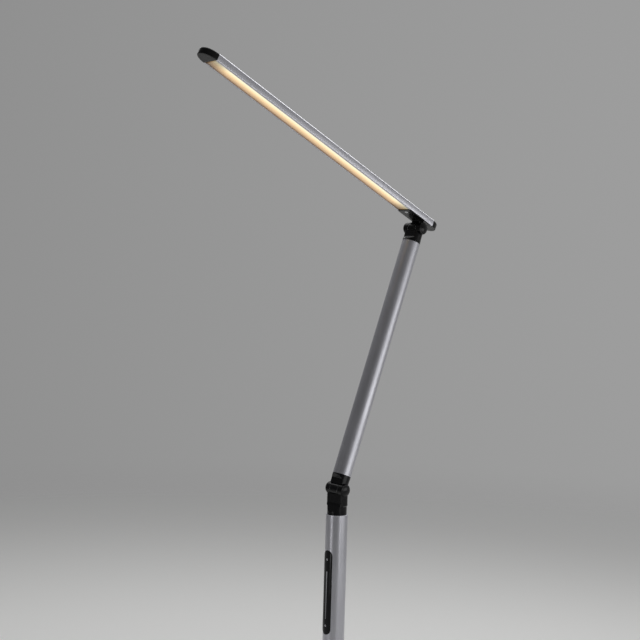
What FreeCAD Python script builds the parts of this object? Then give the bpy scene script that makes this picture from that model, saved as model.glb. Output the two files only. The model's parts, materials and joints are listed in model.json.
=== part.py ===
import FreeCAD, Part
import os
from math import asin, cos, radians, sin, sqrt, tan
from FreeCAD import Vector

# Office floor lamp: a weighted round base, a two-piece post with a touch dimmer let into its front,
# one tubular arm on a friction hinge, and a flat bar-shaped light head on a second friction hinge.
# Millimetres and degrees. The origin is on the floor under the post, X points to the lamp's front,
# Y runs along both hinge pins and Z is up. The lamp is drawn in the pose of the photograph.

# Pose
ARM_LEAN = 21.0             # arm leans back from vertical
HEAD_RISE = 25.0            # head rises forwards from horizontal

# Clearances
FIT_GAP = 0.1               # spigot in its tube, plug in its hole
SEAT_GAP = 0.3              # loose pieces from what holds them
RUN_GAP = 0.05              # hinge bolt in its bush, radially
FACE_GAP = 0.05             # each side of a friction washer
SWING_GAP = 0.5             # knuckle from the hollow that it turns in

# Base
BASE_DIAMETER = 260.0
BASE_HEIGHT = 20.0
BASE_EDGE_RADIUS = 6.0
COVER_WALL = 1.2
COVER_LIFT = 0.6            # cover's rim above the top of the pad
PAD_THICKNESS = 2.5
PAD_INSET = 5.0             # pad's rim inside the base's rim
BASE_BOLT_RADIUS = 5.0
BASE_BOLT_HEAD_ACROSS = 16.0
BASE_BOLT_HEAD_HEIGHT = 6.0
BASE_BOLT_HEAD_LIFT = 0.4   # bolt head above the pad
BASE_WASHER_RADIUS = 11.0
BASE_WASHER_THICKNESS = 2.0
COUNTERBORE_MARGIN = 2.0    # room round the washer
COLLAR_DIAMETER = 44.0
COLLAR_HEIGHT = 12.0
COLLAR_EDGE_RADIUS = 3.0
PLUG_LENGTH = 24.0          # steel plug in the foot of the post
BASE_BOLT_REACH = 18.0      # base bolt into the plug
TRENCH_WIDTH = 11.0         # slot in the weight for the leads
TRENCH_FLOOR = 3.6          # metal left under the slot
GLAND_HEIGHT = 8.4          # gland's axis above the floor
GLAND_BORE_RADIUS = 3.5
GLAND_BODY_RADIUS = 4.8
GLAND_FLANGE_RADIUS = 5.8
GLAND_FLANGE_THICKNESS = 2.0
GLAND_DEPTH = 10.0          # bush inside the cover
TERMINAL_LENGTH = 22.0
TERMINAL_WIDTH = 9.0
TERMINAL_HEIGHT = 9.0
TERMINAL_REACH = 44.0       # terminal block's inner end from the post's axis

# Post
ELBOW_HEIGHT = 900.0        # floor to the elbow's axis
POST_DIAMETER = 32.0
POST_WALL = 1.5
POST_JOIN_HEIGHT = 440.0    # where the lower tube ends and the upper begins
TUBE_EDGE = 0.3             # chamfer round a tube's cut end
COUPLER_LENGTH = 60.0
COUPLER_WALL = 2.0
POST_RIM = 36.9             # end of the post's tube below the elbow's axis

# Touch panel in the front of the post
PANEL_TOP_DROP = 89.2       # panel's upper end below the elbow's axis
PANEL_LENGTH = 124.8
PANEL_WIDTH = 15.8
PANEL_PROUD = 1.1
PANEL_EDGE_RADIUS = 0.5
PANEL_SLOT_WIDTH = 8.8
PANEL_SLOT_MARGIN = 6.0     # slot's end inside the panel's end
MARK_INSET = 13.3           # touch spots from the panel's ends
MARK_RADIUS = 1.6
SLIDER_START = 31.0         # slider line below the panel's upper end
SLIDER_LENGTH = 70.5
SLIDER_TOP_WIDTH = 2.2
SLIDER_LOW_WIDTH = 0.7
MARK_PROUD = 0.12
MARK_DEPTH = 0.4
TOUCH_BOARD_WIDTH = 12.0
BOARD_THICKNESS = 1.6
BOARD_SCREW_RADIUS = 1.0
BOARD_SCREW_HEAD_RADIUS = 1.9
BOARD_SCREW_HEAD_HEIGHT = 1.2
BOARD_SCREW_INSET = 9.0

# Dimmer board inside the post, under the touch panel
DIMMER_LENGTH = 78.0
DIMMER_DROP = 16.0          # board's top under the panel's lower end
PLUG_BLOCK_HEIGHT = 9.0     # plug-in terminals at both ends of the board
PLUG_BLOCK_WIDTH = 10.0
PLUG_BLOCK_DEPTH = 11.0
CHOKE_RADIUS = 5.0
CHOKE_HEIGHT = 6.0
CHIP_SIZE = 7.0
CHIP_HEIGHT = 1.8
RIBBON_WIDTH = 6.0
RIBBON_THICKNESS = 0.5
RIBBON_OVERLAP = 8.0        # ribbon lapped on each board

# Leads
LEAD_RADIUS = 1.5
LEAD_BEND = 12.0
BASE_LEAD_OFFSET = 9.0      # lead beside the base bolt
POST_LEAD_OFFSET = 4.0      # lead through the post's fork
HEAD_LEAD_RADIUS = 1.0
HEAD_LEAD_BEND = 5.0

# Hinges, the same at the elbow and at the head
HINGE_WIDTH = 38.3          # over both caps
KNUCKLE_RADIUS = 9.2
CAP_HEIGHT = 2.95
CAP_RIM = 0.9
CAP_INSET = 0.5             # cap's rim inside the knuckle's
CAP_SKIRT = 1.0
CAP_SKIRT_WALL = 0.7
TONGUE_WIDTH = 15.0
TONGUE_STEP = 0.2           # tongue's radius under the knuckle's
TONGUE_NECK = 12.6          # tongue between its knuckle and its collar, front to back
COLLAR_LIP_RISE = 7.0       # collar's lips, front and back of the knuckle, above the axis
SLOT_LIP_DROP = 6.2         # slot's lips, front and back of the knuckle, below the axis
WASHER_THICKNESS = 0.9
EAR_FLOOR = 3.0             # metal under the bolt's head and nut
BOLT_RADIUS = 3.0
BOLT_HEAD_RADIUS = 5.0
BOLT_HEAD_HEIGHT = 3.3
BOLT_SOCKET_RADIUS = 2.0
BOLT_SOCKET_DEPTH = 1.8
NUT_ACROSS = 10.0
NUT_HEIGHT = 3.3
COUNTERBORE_RADIUS = 6.2
BUSH_WALL = 1.5

# Cast fittings at the ends of the tubes
SPIGOT_LENGTH = 22.0
SPIGOT_WALL = 3.5
RIM_BAND = 1.2              # plain round band next to the tube
FITTING_FLAT = 7.7          # flats on the front and back of each fitting from its middle
POST_SLOPE = 14.4           # length over which the post's fitting is chamfered to its flats
ARM_SLOPE = 5.2
THROAT_DROP = 23.2          # throat of the post's fitting, as narrow as the tube's bore, ends here
THROAT_FLARE = 1.6          # and widens to the ears over this height
SLOPE_BLEND = 8.0
ARM_SLOPE_BLEND = 4.0
FITTING_EDGE_RADIUS = 1.4
GRUB_RADIUS = 2.0
GRUB_LENGTH = 4.5
GRUB_SOCKET_RADIUS = 1.0
GRUB_SOCKET_DEPTH = 2.0

# Arm
ARM_SPAN = 415.0            # elbow's axis to the head hinge's axis
ARM_DIAMETER = 27.5
ARM_WALL = 1.2
ARM_LOWER_RIM = 21.5        # tube's lower end from the elbow's axis
ARM_UPPER_RIM = 23.2        # tube's upper end from the head hinge's axis

# Head
HEAD_WIDTH = 30.3
HEAD_THICKNESS = 10.5
HEAD_LENGTH = 464.6         # aluminium profile without its end caps
HEAD_OVERHANG = 17.9        # profile behind the hinge's axis
HEAD_DROP = 13.5            # hinge's axis under the profile
PROFILE_WALL = 1.6
PROFILE_EDGE_RADIUS = 3.0
PROFILE_LOWER_RADIUS = 0.6
LIP_WIDTH = 3.6
LIP_THICKNESS = 1.2
DIFFUSER_THICKNESS = 2.0
DIFFUSER_START = 35.5       # lit strip from the hinge's axis
DIFFUSER_END_MARGIN = 3.4   # lit strip's far end from the profile's end
LED_BOARD_WIDTH = 12.0
LED_BOARD_THICKNESS = 1.0
LED_BOARD_START = 40.0
LED_BOARD_END_MARGIN = 10.0
LED_LENGTH = 3.5
LED_WIDTH = 2.8
LED_HEIGHT = 0.8
LED_PITCH = 12.5
TIP_LENGTH = 20.5
NOSE_TOP_RADIUS = 3.2       # both end caps
NOSE_LOWER_RADIUS = 1.0
TIP_PRONG_LENGTH = 9.0
TIP_PRONG_WIDTH = 4.0
REAR_CAP_LENGTH = 18.2
REAR_PLUG_LENGTH = 5.0
MOUNT_FLANGE = 0.8          # neck's flange under the profile
MOUNT_FLANGE_WIDTH = 26.0
MOUNT_FLANGE_RADIUS = 2.0
MOUNT_REAR_MARGIN = 0.4
NECK_DEPTH = 9.0            # neck along the head
NECK_FILLET = 2.5
BACKING_THICKNESS = 1.5
MOUNT_SCREW_RADIUS = 1.5
MOUNT_SCREW_HEAD_RADIUS = 2.75
MOUNT_SCREW_HEAD_HEIGHT = 1.6
MOUNT_SCREW_REACH = 1.0     # screw past the backing plate
MOUNT_SCREW_INSET = 6.5     # screws from the flange's ends

POST_RADIUS = POST_DIAMETER / 2
POST_BORE = POST_RADIUS - POST_WALL
POST_TOP = ELBOW_HEIGHT - POST_RIM
BASE_RADIUS = BASE_DIAMETER / 2
COVER_INSIDE = BASE_HEIGHT - COVER_WALL
BASE_BOLT_HEAD_TOP = PAD_THICKNESS + BASE_BOLT_HEAD_LIFT + BASE_BOLT_HEAD_HEIGHT
COUNTERBORE_TOP = BASE_BOLT_HEAD_TOP + BASE_WASHER_THICKNESS
ARM_RADIUS = ARM_DIAMETER / 2
CAP_SEAT = HINGE_WIDTH / 2 - CAP_HEIGHT
TONGUE_RADIUS = KNUCKLE_RADIUS - TONGUE_STEP
EAR_INNER = TONGUE_WIDTH / 2 + WASHER_THICKNESS + 2 * FACE_GAP
EAR_SEAT = EAR_INNER + EAR_FLOOR
SLOT_RADIUS = TONGUE_RADIUS + SWING_GAP
COLLAR_HOLLOW = KNUCKLE_RADIUS + SWING_GAP
BUSH_BORE = BOLT_RADIUS + RUN_GAP
BUSH_RADIUS = BUSH_BORE + BUSH_WALL
LEAD_HOLE = LEAD_RADIUS + SEAT_GAP
PANEL_TOP = ELBOW_HEIGHT - PANEL_TOP_DROP
PANEL_BOTTOM = PANEL_TOP - PANEL_LENGTH
PANEL_MIDDLE = (PANEL_TOP + PANEL_BOTTOM) / 2
PANEL_OUTER = POST_RADIUS + PANEL_PROUD
DIMMER_TOP = PANEL_BOTTOM - DIMMER_DROP
DIMMER_BOTTOM = DIMMER_TOP - DIMMER_LENGTH
HEAD_TOP = HEAD_DROP + HEAD_THICKNESS
HEAD_REAR = -HEAD_OVERHANG
HEAD_FRONT = HEAD_LENGTH - HEAD_OVERHANG
CAVITY_HALF = HEAD_WIDTH / 2 - PROFILE_WALL
MOUTH_HALF = HEAD_WIDTH / 2 - LIP_WIDTH
LIP_TOP = HEAD_DROP + LIP_THICKNESS
CAVITY_TOP = HEAD_TOP - PROFILE_WALL
DIFFUSER_END = HEAD_FRONT - DIFFUSER_END_MARGIN
LED_BOARD_BOTTOM = CAVITY_TOP - LED_BOARD_THICKNESS
BACKING_TOP = LIP_TOP + BACKING_THICKNESS
MOUNT_REAR = HEAD_REAR + MOUNT_REAR_MARGIN
MOUNT_FRONT = DIFFUSER_START - FIT_GAP
MOUNT_SCREW_PLACES = (MOUNT_REAR + MOUNT_SCREW_INSET, MOUNT_FRONT - MOUNT_SCREW_INSET)


def rod_x(radius, start, end, y=0.0, z=0.0):
    return Part.makeCylinder(radius, end - start, Vector(start, y, z), Vector(1, 0, 0))


def rod_y(radius, start, end, x=0.0, z=0.0):
    return Part.makeCylinder(radius, end - start, Vector(x, start, z), Vector(0, 1, 0))


def rod_z(radius, start, end, x=0.0, y=0.0):
    return Part.makeCylinder(radius, end - start, Vector(x, y, start), Vector(0, 0, 1))


def block(x_start, x_end, y_start, y_end, z_start, z_end):
    corner = Vector(x_start, y_start, z_start)
    return Part.makeBox(x_end - x_start, y_end - y_start, z_end - z_start, corner)


def bar(x_start, x_end, half_width, z_start, z_end):
    """Box centred on the lamp's plane of symmetry."""
    return block(x_start, x_end, -half_width, half_width, z_start, z_end)


def united(first, *others):
    return first.fuse(list(others)).removeSplitter()


def along_x(point):
    """Puts a drawing of the Y-Z plane in space."""
    return Vector(0, point.x, point.y)


def along_y(point):
    """Puts a drawing of the X-Z plane in space."""
    return Vector(point.x, 0, point.y)


def along_z(point):
    """Leaves a drawing in the X-Y plane."""
    return Vector(point.x, point.y, 0)


def rounded_face(corners, place):
    """Flat face through corners (u, v, radius), each rounded by an arc of its radius."""
    count = len(corners)
    starts = []
    middles = []
    ends = []
    for number, (u, v, radius) in enumerate(corners):
        here = Vector(u, v, 0)
        last = Vector(corners[number - 1][0], corners[number - 1][1], 0)
        following = corners[(number + 1) % count]
        to_last = (last - here).normalize()
        to_next = (Vector(following[0], following[1], 0) - here).normalize()
        half_angle = to_last.getAngle(to_next) / 2
        reach = radius / tan(half_angle)
        centre = here + (to_last + to_next).normalize() * (radius / sin(half_angle))
        starts.append(here + to_last * reach)
        middles.append(centre + (here - centre).normalize() * radius if radius else here)
        ends.append(here + to_next * reach)
    edges = []
    for number in range(count):
        if corners[number][2]:
            arc = Part.Arc(place(starts[number]), place(middles[number]), place(ends[number]))
            edges.append(arc.toShape())
        onward = starts[(number + 1) % count]
        if ends[number].distanceToPoint(onward) > 1e-6:
            edges.append(Part.LineSegment(place(ends[number]), place(onward)).toShape())
    return Part.Face(Part.Wire(edges))


def rounded_plate(x_start, x_end, half_width, z_start, z_end, radius):
    """Plate whose four upright corners are rounded."""
    corners = [(x_start, -half_width, radius), (x_end, -half_width, radius),
               (x_end, half_width, radius), (x_start, half_width, radius)]
    face = rounded_face(corners, along_z)
    face.translate(Vector(0, 0, z_start))
    return face.extrude(Vector(0, 0, z_end - z_start))


def hex_prism_y(across, start, end):
    corner_radius = across / 2 / cos(radians(30))
    corners = []
    for number in range(6):
        angle = radians(60 * number)
        corners.append(Vector(corner_radius * cos(angle), start, corner_radius * sin(angle)))
    return Part.Face(Part.makePolygon(corners + corners[:1])).extrude(Vector(0, end - start, 0))


def hex_prism_z(across, start, end):
    corner_radius = across / 2 / cos(radians(30))
    corners = []
    for number in range(6):
        angle = radians(60 * number)
        corners.append(Vector(corner_radius * cos(angle), corner_radius * sin(angle), start))
    return Part.Face(Part.makePolygon(corners + corners[:1])).extrude(Vector(0, 0, end - start))


def swept_lead(radius, points, bend):
    """Round lead along straight runs in the X-Z plane, each corner an arc of radius bend."""
    edges = []
    here = points[0]
    for number in range(1, len(points) - 1):
        corner = points[number]
        back = (points[number - 1] - corner).normalize()
        onward = (points[number + 1] - corner).normalize()
        half_angle = back.getAngle(onward) / 2
        reach = bend / tan(half_angle)
        centre = corner + (back + onward).normalize() * (bend / sin(half_angle))
        middle = centre + (corner - centre).normalize() * bend
        edges.append(Part.LineSegment(here, corner + back * reach).toShape())
        edges.append(Part.Arc(corner + back * reach, middle, corner + onward * reach).toShape())
        here = corner + onward * reach
    edges.append(Part.LineSegment(here, points[-1]).toShape())
    path = Part.Wire(edges)
    direction = (points[1] - points[0]).normalize()
    ring = Part.Wire(Part.makeCircle(radius, points[0], direction))
    return path.makePipeShell([ring], True, False)


def on_elbow(shape):
    """Takes a piece drawn round the hinge's axis to the elbow, upright."""
    shape.translate(Vector(0, 0, ELBOW_HEIGHT))
    return shape


def on_arm(shape):
    """Takes a piece drawn upright from the elbow's axis to the leaning arm."""
    shape.rotate(Vector(0, 0, 0), Vector(0, 1, 0), -ARM_LEAN)
    return on_elbow(shape)


def at_arm_end(shape):
    """Takes a piece drawn round the head hinge's axis to the arm's upper end."""
    shape.translate(Vector(0, 0, ARM_SPAN))
    return on_arm(shape)


def on_head(shape):
    """Takes a piece drawn along X from the head hinge's axis to the raised head."""
    shape.rotate(Vector(0, 0, 0), Vector(0, 1, 0), -HEAD_RISE)
    lean = radians(ARM_LEAN)
    shape.translate(Vector(-ARM_SPAN * sin(lean), 0, ELBOW_HEIGHT + ARM_SPAN * cos(lean)))
    return shape


def save(node, *solids):
    shape = solids[0] if len(solids) == 1 else Part.makeCompound(list(solids))
    for solid in shape.Solids:
        if not solid.isValid() or solid.Volume <= 0:
            print("bad solid in", node)
    shape.exportStep("parts/" + node + ".step")


# ---- Base ----

def base_pad():
    """Anti-slip sheet glued under the weight, which the lamp stands on."""
    return rod_z(BASE_RADIUS - PAD_INSET, 0, PAD_THICKNESS)


def base_weight():
    """Cast disc under the cover, with a pocket for the bolt's head and a trench for the leads."""
    radius = BASE_RADIUS - COVER_WALL - FIT_GAP
    edge = max(BASE_EDGE_RADIUS - COVER_WALL, COVER_WALL)
    disc = rod_z(radius, PAD_THICKNESS, COVER_INSIDE)
    disc = disc.makeFillet(edge, [e for e in disc.Edges if e.BoundBox.ZMin > COVER_INSIDE - 0.01])
    pocket = rod_z(BASE_WASHER_RADIUS + COUNTERBORE_MARGIN, 0, COUNTERBORE_TOP)
    shank_hole = rod_z(BASE_BOLT_RADIUS + FIT_GAP, 0, BASE_HEIGHT)
    trench_end = -BASE_LEAD_OFFSET
    trench_half = TRENCH_WIDTH / 2
    trench = bar(-BASE_RADIUS, trench_end, trench_half, TRENCH_FLOOR, BASE_HEIGHT)
    lead_well = rod_z(LEAD_HOLE, TRENCH_FLOOR, BASE_HEIGHT, -BASE_LEAD_OFFSET)
    return disc.cut([pocket, shank_hole, trench, lead_well])


def base_cover():
    """Pressed shell over the weight, holed for the bolt, the lead and the gland."""
    skirt = PAD_THICKNESS + COVER_LIFT
    outside = rod_z(BASE_RADIUS, skirt, BASE_HEIGHT)
    top_edge = [e for e in outside.Edges if e.BoundBox.ZMin > BASE_HEIGHT - 0.01]
    outside = outside.makeFillet(BASE_EDGE_RADIUS, top_edge)
    inside = rod_z(BASE_RADIUS - COVER_WALL, skirt, COVER_INSIDE)
    top_edge = [e for e in inside.Edges if e.BoundBox.ZMin > COVER_INSIDE - 0.01]
    inside = inside.makeFillet(max(BASE_EDGE_RADIUS - COVER_WALL, COVER_WALL), top_edge)
    bolt_hole = rod_z(BASE_BOLT_RADIUS + FIT_GAP, 0, BASE_HEIGHT + COVER_WALL)
    lead_hole = rod_z(LEAD_HOLE, skirt, BASE_HEIGHT + COVER_WALL, -BASE_LEAD_OFFSET)
    gland_hole = rod_x(GLAND_BODY_RADIUS + FIT_GAP, -BASE_RADIUS - COVER_WALL, -BASE_RADIUS / 2,
                       0, GLAND_HEIGHT)
    return outside.cut([inside, bolt_hole, lead_hole, gland_hole])


def cord_gland():
    """Rubber bush in the back of the base, where the supply lead would enter."""
    outer = -BASE_RADIUS - GLAND_FLANGE_THICKNESS
    inner = -BASE_RADIUS + GLAND_DEPTH
    flange = rod_x(GLAND_FLANGE_RADIUS, outer, -BASE_RADIUS + COVER_WALL / 2, 0, GLAND_HEIGHT)
    # the flange sits on the round skirt, so the skirt's own cylinder cuts it to fit
    flange = flange.cut(rod_z(BASE_RADIUS, 0, BASE_HEIGHT))
    body = rod_x(GLAND_BODY_RADIUS, outer, inner, 0, GLAND_HEIGHT)
    bore = rod_x(GLAND_BORE_RADIUS, outer, inner, 0, GLAND_HEIGHT)
    return united(flange, body).cut(bore)


def terminal_block():
    """Screw terminals in the trench, where the supply lead meets the lamp's own lead."""
    inner = -TERMINAL_REACH
    outer = inner - TERMINAL_LENGTH
    floor = TRENCH_FLOOR
    body = bar(outer, inner, TERMINAL_WIDTH / 2, floor, floor + TERMINAL_HEIGHT)
    screws = []
    for x in (outer + TERMINAL_LENGTH / 4, inner - TERMINAL_LENGTH / 4):
        for y in (-TERMINAL_WIDTH / 4, TERMINAL_WIDTH / 4):
            screws.append(rod_z(TERMINAL_WIDTH / 8, floor + TERMINAL_HEIGHT / 2, BASE_HEIGHT, x, y))
    return body.cut(screws)


def base_bolt():
    """Hexagon bolt from under the weight into the plug of the post."""
    head_start = PAD_THICKNESS + BASE_BOLT_HEAD_LIFT
    head = hex_prism_z(BASE_BOLT_HEAD_ACROSS, head_start, BASE_BOLT_HEAD_TOP)
    body = rod_z(BASE_BOLT_RADIUS, BASE_BOLT_HEAD_TOP, BASE_HEIGHT + BASE_BOLT_REACH)
    return united(head, body)


def base_washer():
    ring = rod_z(BASE_WASHER_RADIUS, BASE_BOLT_HEAD_TOP, COUNTERBORE_TOP)
    return ring.cut(rod_z(BASE_BOLT_RADIUS + FIT_GAP, 0, COUNTERBORE_TOP + FIT_GAP))


def post_foot_plug():
    """Steel plug pressed in the foot of the post, threaded for the base bolt."""
    plug = rod_z(POST_BORE - FIT_GAP, BASE_HEIGHT, BASE_HEIGHT + PLUG_LENGTH)
    thread = rod_z(BASE_BOLT_RADIUS + RUN_GAP, BASE_HEIGHT - FIT_GAP, BASE_HEIGHT + PLUG_LENGTH)
    lead_hole = rod_z(LEAD_HOLE, BASE_HEIGHT - FIT_GAP, BASE_HEIGHT + PLUG_LENGTH + FIT_GAP,
                      -BASE_LEAD_OFFSET)
    return plug.cut([thread, lead_hole])


def base_collar():
    """Black trim ring round the foot of the post."""
    ring = rod_z(COLLAR_DIAMETER / 2, BASE_HEIGHT, BASE_HEIGHT + COLLAR_HEIGHT)
    top = BASE_HEIGHT + COLLAR_HEIGHT - 0.01
    ring = ring.makeFillet(COLLAR_EDGE_RADIUS, [e for e in ring.Edges if e.BoundBox.ZMin > top])
    return ring.cut(rod_z(POST_RADIUS + FIT_GAP, 0, BASE_HEIGHT + 2 * COLLAR_HEIGHT))


# ---- Post ----

def tube(radius, wall, start, end):
    """Tube with its outer edges broken."""
    rod = rod_z(radius, start, end)
    rod = rod.makeChamfer(TUBE_EDGE, [e for e in rod.Edges if e.BoundBox.ZLength < 0.01])
    return rod.cut(rod_z(radius - wall, start, end))


def back_hole(tube_radius, height):
    """Cutter for a grub screw's hole in the back of a tube."""
    return rod_x(GRUB_RADIUS + FIT_GAP, -tube_radius * 2, 0, 0, height)


def grub_screw(tube_radius, height):
    """Socket screw from the back of a tube into the fitting inside it, flush with the tube."""
    outer = -tube_radius + SEAT_GAP
    screw = rod_x(GRUB_RADIUS, outer, outer + GRUB_LENGTH, 0, height)
    return screw.cut(rod_x(GRUB_SOCKET_RADIUS, outer, outer + GRUB_SOCKET_DEPTH, 0, height))


def grub_pocket(tube_radius, height):
    """Cutter for the screw's seat in the fitting inside the tube."""
    return rod_x(GRUB_RADIUS + RUN_GAP, -tube_radius, -tube_radius + SEAT_GAP + GRUB_LENGTH,
                 0, height)


POST_GRUB_HEIGHT = POST_TOP - SPIGOT_LENGTH / 2
COUPLER_GRUB_HEIGHTS = (POST_JOIN_HEIGHT - COUPLER_LENGTH / 4, POST_JOIN_HEIGHT + COUPLER_LENGTH / 4)


def post_lower_tube():
    body = tube(POST_RADIUS, POST_WALL, BASE_HEIGHT, POST_JOIN_HEIGHT)
    return body.cut(back_hole(POST_RADIUS, COUPLER_GRUB_HEIGHTS[0]))


def post_upper_tube():
    """Upper tube, slotted in front for the back of the touch panel."""
    body = tube(POST_RADIUS, POST_WALL, POST_JOIN_HEIGHT, POST_TOP)
    half_length = PANEL_LENGTH / 2 - PANEL_SLOT_MARGIN
    slot = panel_prism(PANEL_SLOT_WIDTH, half_length * 2, 0, PANEL_OUTER)
    holes = [back_hole(POST_RADIUS, COUPLER_GRUB_HEIGHTS[1]), back_hole(POST_RADIUS, POST_GRUB_HEIGHT)]
    return body.cut([slot] + holes)


def post_coupler():
    """Sleeve inside the two tubes, locked by a grub screw in each."""
    outer = POST_BORE - FIT_GAP
    start = POST_JOIN_HEIGHT - COUPLER_LENGTH / 2
    body = tube(outer, COUPLER_WALL, start, start + COUPLER_LENGTH)
    return body.cut([grub_pocket(POST_RADIUS, height) for height in COUPLER_GRUB_HEIGHTS])


def panel_prism(width, length, x_start, x_end):
    """Round-ended bar along X, upright and centred on the touch panel."""
    half = width / 2
    low = PANEL_MIDDLE - length / 2
    high = PANEL_MIDDLE + length / 2
    corners = [(-half, low, half), (half, low, half), (half, high, half), (-half, high, half)]
    face = rounded_face(corners, along_x)
    face.translate(Vector(x_start, 0, 0))
    return face.extrude(Vector(x_end - x_start, 0, 0))


TOUCH_BOARD_OUTER = sqrt(POST_BORE ** 2 - (TOUCH_BOARD_WIDTH / 2) ** 2) - FIT_GAP
TOUCH_BOARD_INNER = TOUCH_BOARD_OUTER - BOARD_THICKNESS
TOUCH_BOARD_HALF = PANEL_LENGTH / 2 - PANEL_SLOT_MARGIN
PANEL_SCREW_HEIGHTS = (PANEL_MIDDLE - TOUCH_BOARD_HALF + BOARD_SCREW_INSET,
                       PANEL_MIDDLE + TOUCH_BOARD_HALF - BOARD_SCREW_INSET)


def mark_places():
    """Cutters, from nearly the full depth, for the two spots and the tapered slider line."""
    depth = PANEL_OUTER - MARK_DEPTH
    shapes = []
    for height in (PANEL_TOP - MARK_INSET, PANEL_BOTTOM + MARK_INSET):
        shapes.append(rod_x(MARK_RADIUS, depth, PANEL_OUTER + PANEL_PROUD, 0, height))
    top = PANEL_TOP - SLIDER_START
    low = top - SLIDER_LENGTH
    half_top = SLIDER_TOP_WIDTH / 2
    half_low = SLIDER_LOW_WIDTH / 2
    wedge = rounded_face([(-half_low, low, 0), (half_low, low, 0), (half_top, top, 0),
                          (-half_top, top, 0)], along_x)
    wedge.translate(Vector(depth, 0, 0))
    shapes.append(wedge.extrude(Vector(PANEL_OUTER + PANEL_PROUD - depth, 0, 0)))
    return shapes


def touch_panel():
    """Glossy cover bent round the post, with a back that passes through the post's slot."""
    curved = rod_z(PANEL_OUTER, PANEL_BOTTOM, PANEL_TOP).cut(rod_z(POST_RADIUS, 0, ELBOW_HEIGHT))
    cover = curved.common(panel_prism(PANEL_WIDTH, PANEL_LENGTH, 0, PANEL_OUTER * 2))
    outer_edges = []
    for edge in cover.Edges:
        middle = edge.valueAt((edge.FirstParameter + edge.LastParameter) / 2)
        if sqrt(middle.x ** 2 + middle.y ** 2) > PANEL_OUTER - 0.01:
            outer_edges.append(edge)
    cover = cover.makeFillet(PANEL_EDGE_RADIUS, outer_edges)
    cover = cover.cut(mark_places())
    back = panel_prism(PANEL_SLOT_WIDTH - 2 * FIT_GAP, 2 * (TOUCH_BOARD_HALF - FIT_GAP),
                       TOUCH_BOARD_OUTER, POST_RADIUS)
    back = united(back, panel_prism(PANEL_SLOT_WIDTH - 2 * FIT_GAP, 2 * (TOUCH_BOARD_HALF - FIT_GAP),
                                    POST_RADIUS - POST_WALL, PANEL_OUTER - 2 * MARK_DEPTH))
    back = back.common(rod_z(PANEL_OUTER - MARK_DEPTH - FIT_GAP, 0, ELBOW_HEIGHT))
    holes = []
    for height in PANEL_SCREW_HEIGHTS:
        holes.append(rod_x(BOARD_SCREW_RADIUS + RUN_GAP, 0, POST_RADIUS - SEAT_GAP, 0, height))
    return united(cover, back).cut(holes)


def touch_marks():
    """Pale inlaid spots and slider line of the touch panel."""
    skin = rod_z(PANEL_OUTER + MARK_PROUD, PANEL_BOTTOM, PANEL_TOP)
    return [shape.common(skin) for shape in mark_places()]


def touch_board():
    """Sensor board behind the panel."""
    board = bar(TOUCH_BOARD_INNER, TOUCH_BOARD_OUTER, TOUCH_BOARD_WIDTH / 2,
                PANEL_MIDDLE - TOUCH_BOARD_HALF, PANEL_MIDDLE + TOUCH_BOARD_HALF)
    holes = []
    for height in PANEL_SCREW_HEIGHTS:
        holes.append(rod_x(BOARD_SCREW_RADIUS + RUN_GAP, 0, POST_RADIUS, 0, height))
    return board.cut(holes)


def touch_board_screws():
    screws = []
    for height in PANEL_SCREW_HEIGHTS:
        head = rod_x(BOARD_SCREW_HEAD_RADIUS, TOUCH_BOARD_INNER - BOARD_SCREW_HEAD_HEIGHT,
                     TOUCH_BOARD_INNER, 0, height)
        shank = rod_x(BOARD_SCREW_RADIUS, TOUCH_BOARD_INNER, POST_RADIUS - 2 * SEAT_GAP, 0, height)
        screws.append(united(head, shank))
    return screws


def dimmer_board():
    """Circuit board that slides down the post between two walls of the tube."""
    half_width = sqrt((POST_BORE - SEAT_GAP) ** 2 - (BOARD_THICKNESS / 2) ** 2)
    return bar(-BOARD_THICKNESS / 2, BOARD_THICKNESS / 2, half_width, DIMMER_BOTTOM, DIMMER_TOP)


def dimmer_components():
    """Plug-in terminals, a choke and two chips soldered to the dimmer board."""
    face = -BOARD_THICKNESS / 2
    back = face - PLUG_BLOCK_DEPTH
    half = PLUG_BLOCK_WIDTH / 2
    lower = bar(back, face, half, DIMMER_BOTTOM, DIMMER_BOTTOM + PLUG_BLOCK_HEIGHT)
    upper = bar(back, face, half, DIMMER_TOP - PLUG_BLOCK_HEIGHT, DIMMER_TOP)
    middle = (DIMMER_TOP + DIMMER_BOTTOM) / 2
    choke = rod_x(CHOKE_RADIUS, -face, -face + CHOKE_HEIGHT, 0, middle)
    chips = []
    for height in (middle - 3 * CHIP_SIZE, middle + 2 * CHIP_SIZE):
        chips.append(bar(-face, -face + CHIP_HEIGHT, CHIP_SIZE / 2, height, height + CHIP_SIZE))
    return [lower, upper, choke] + chips


def touch_ribbon():
    """Flat cable from the dimmer board to the touch board."""
    near = BOARD_THICKNESS / 2
    far = TOUCH_BOARD_INNER
    half = RIBBON_WIDTH / 2
    thick = RIBBON_THICKNESS
    level = (DIMMER_TOP + PANEL_MIDDLE - TOUCH_BOARD_HALF) / 2
    on_dimmer = bar(near, near + thick, half, DIMMER_TOP - RIBBON_OVERLAP, level)
    across = bar(near, far, half, level, level + thick)
    on_touch = bar(far - thick, far, half, level, PANEL_MIDDLE - TOUCH_BOARD_HALF + RIBBON_OVERLAP / 2)
    return united(on_dimmer, across, on_touch)


def base_lead():
    """Lead from the terminal block through the base and up the post to the dimmer board."""
    level = TRENCH_FLOOR + TERMINAL_HEIGHT / 2
    points = [Vector(-TERMINAL_REACH, 0, level), Vector(-BASE_LEAD_OFFSET, 0, level),
              Vector(-BASE_LEAD_OFFSET, 0, DIMMER_BOTTOM)]
    return swept_lead(LEAD_RADIUS, points, LEAD_BEND)


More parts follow.
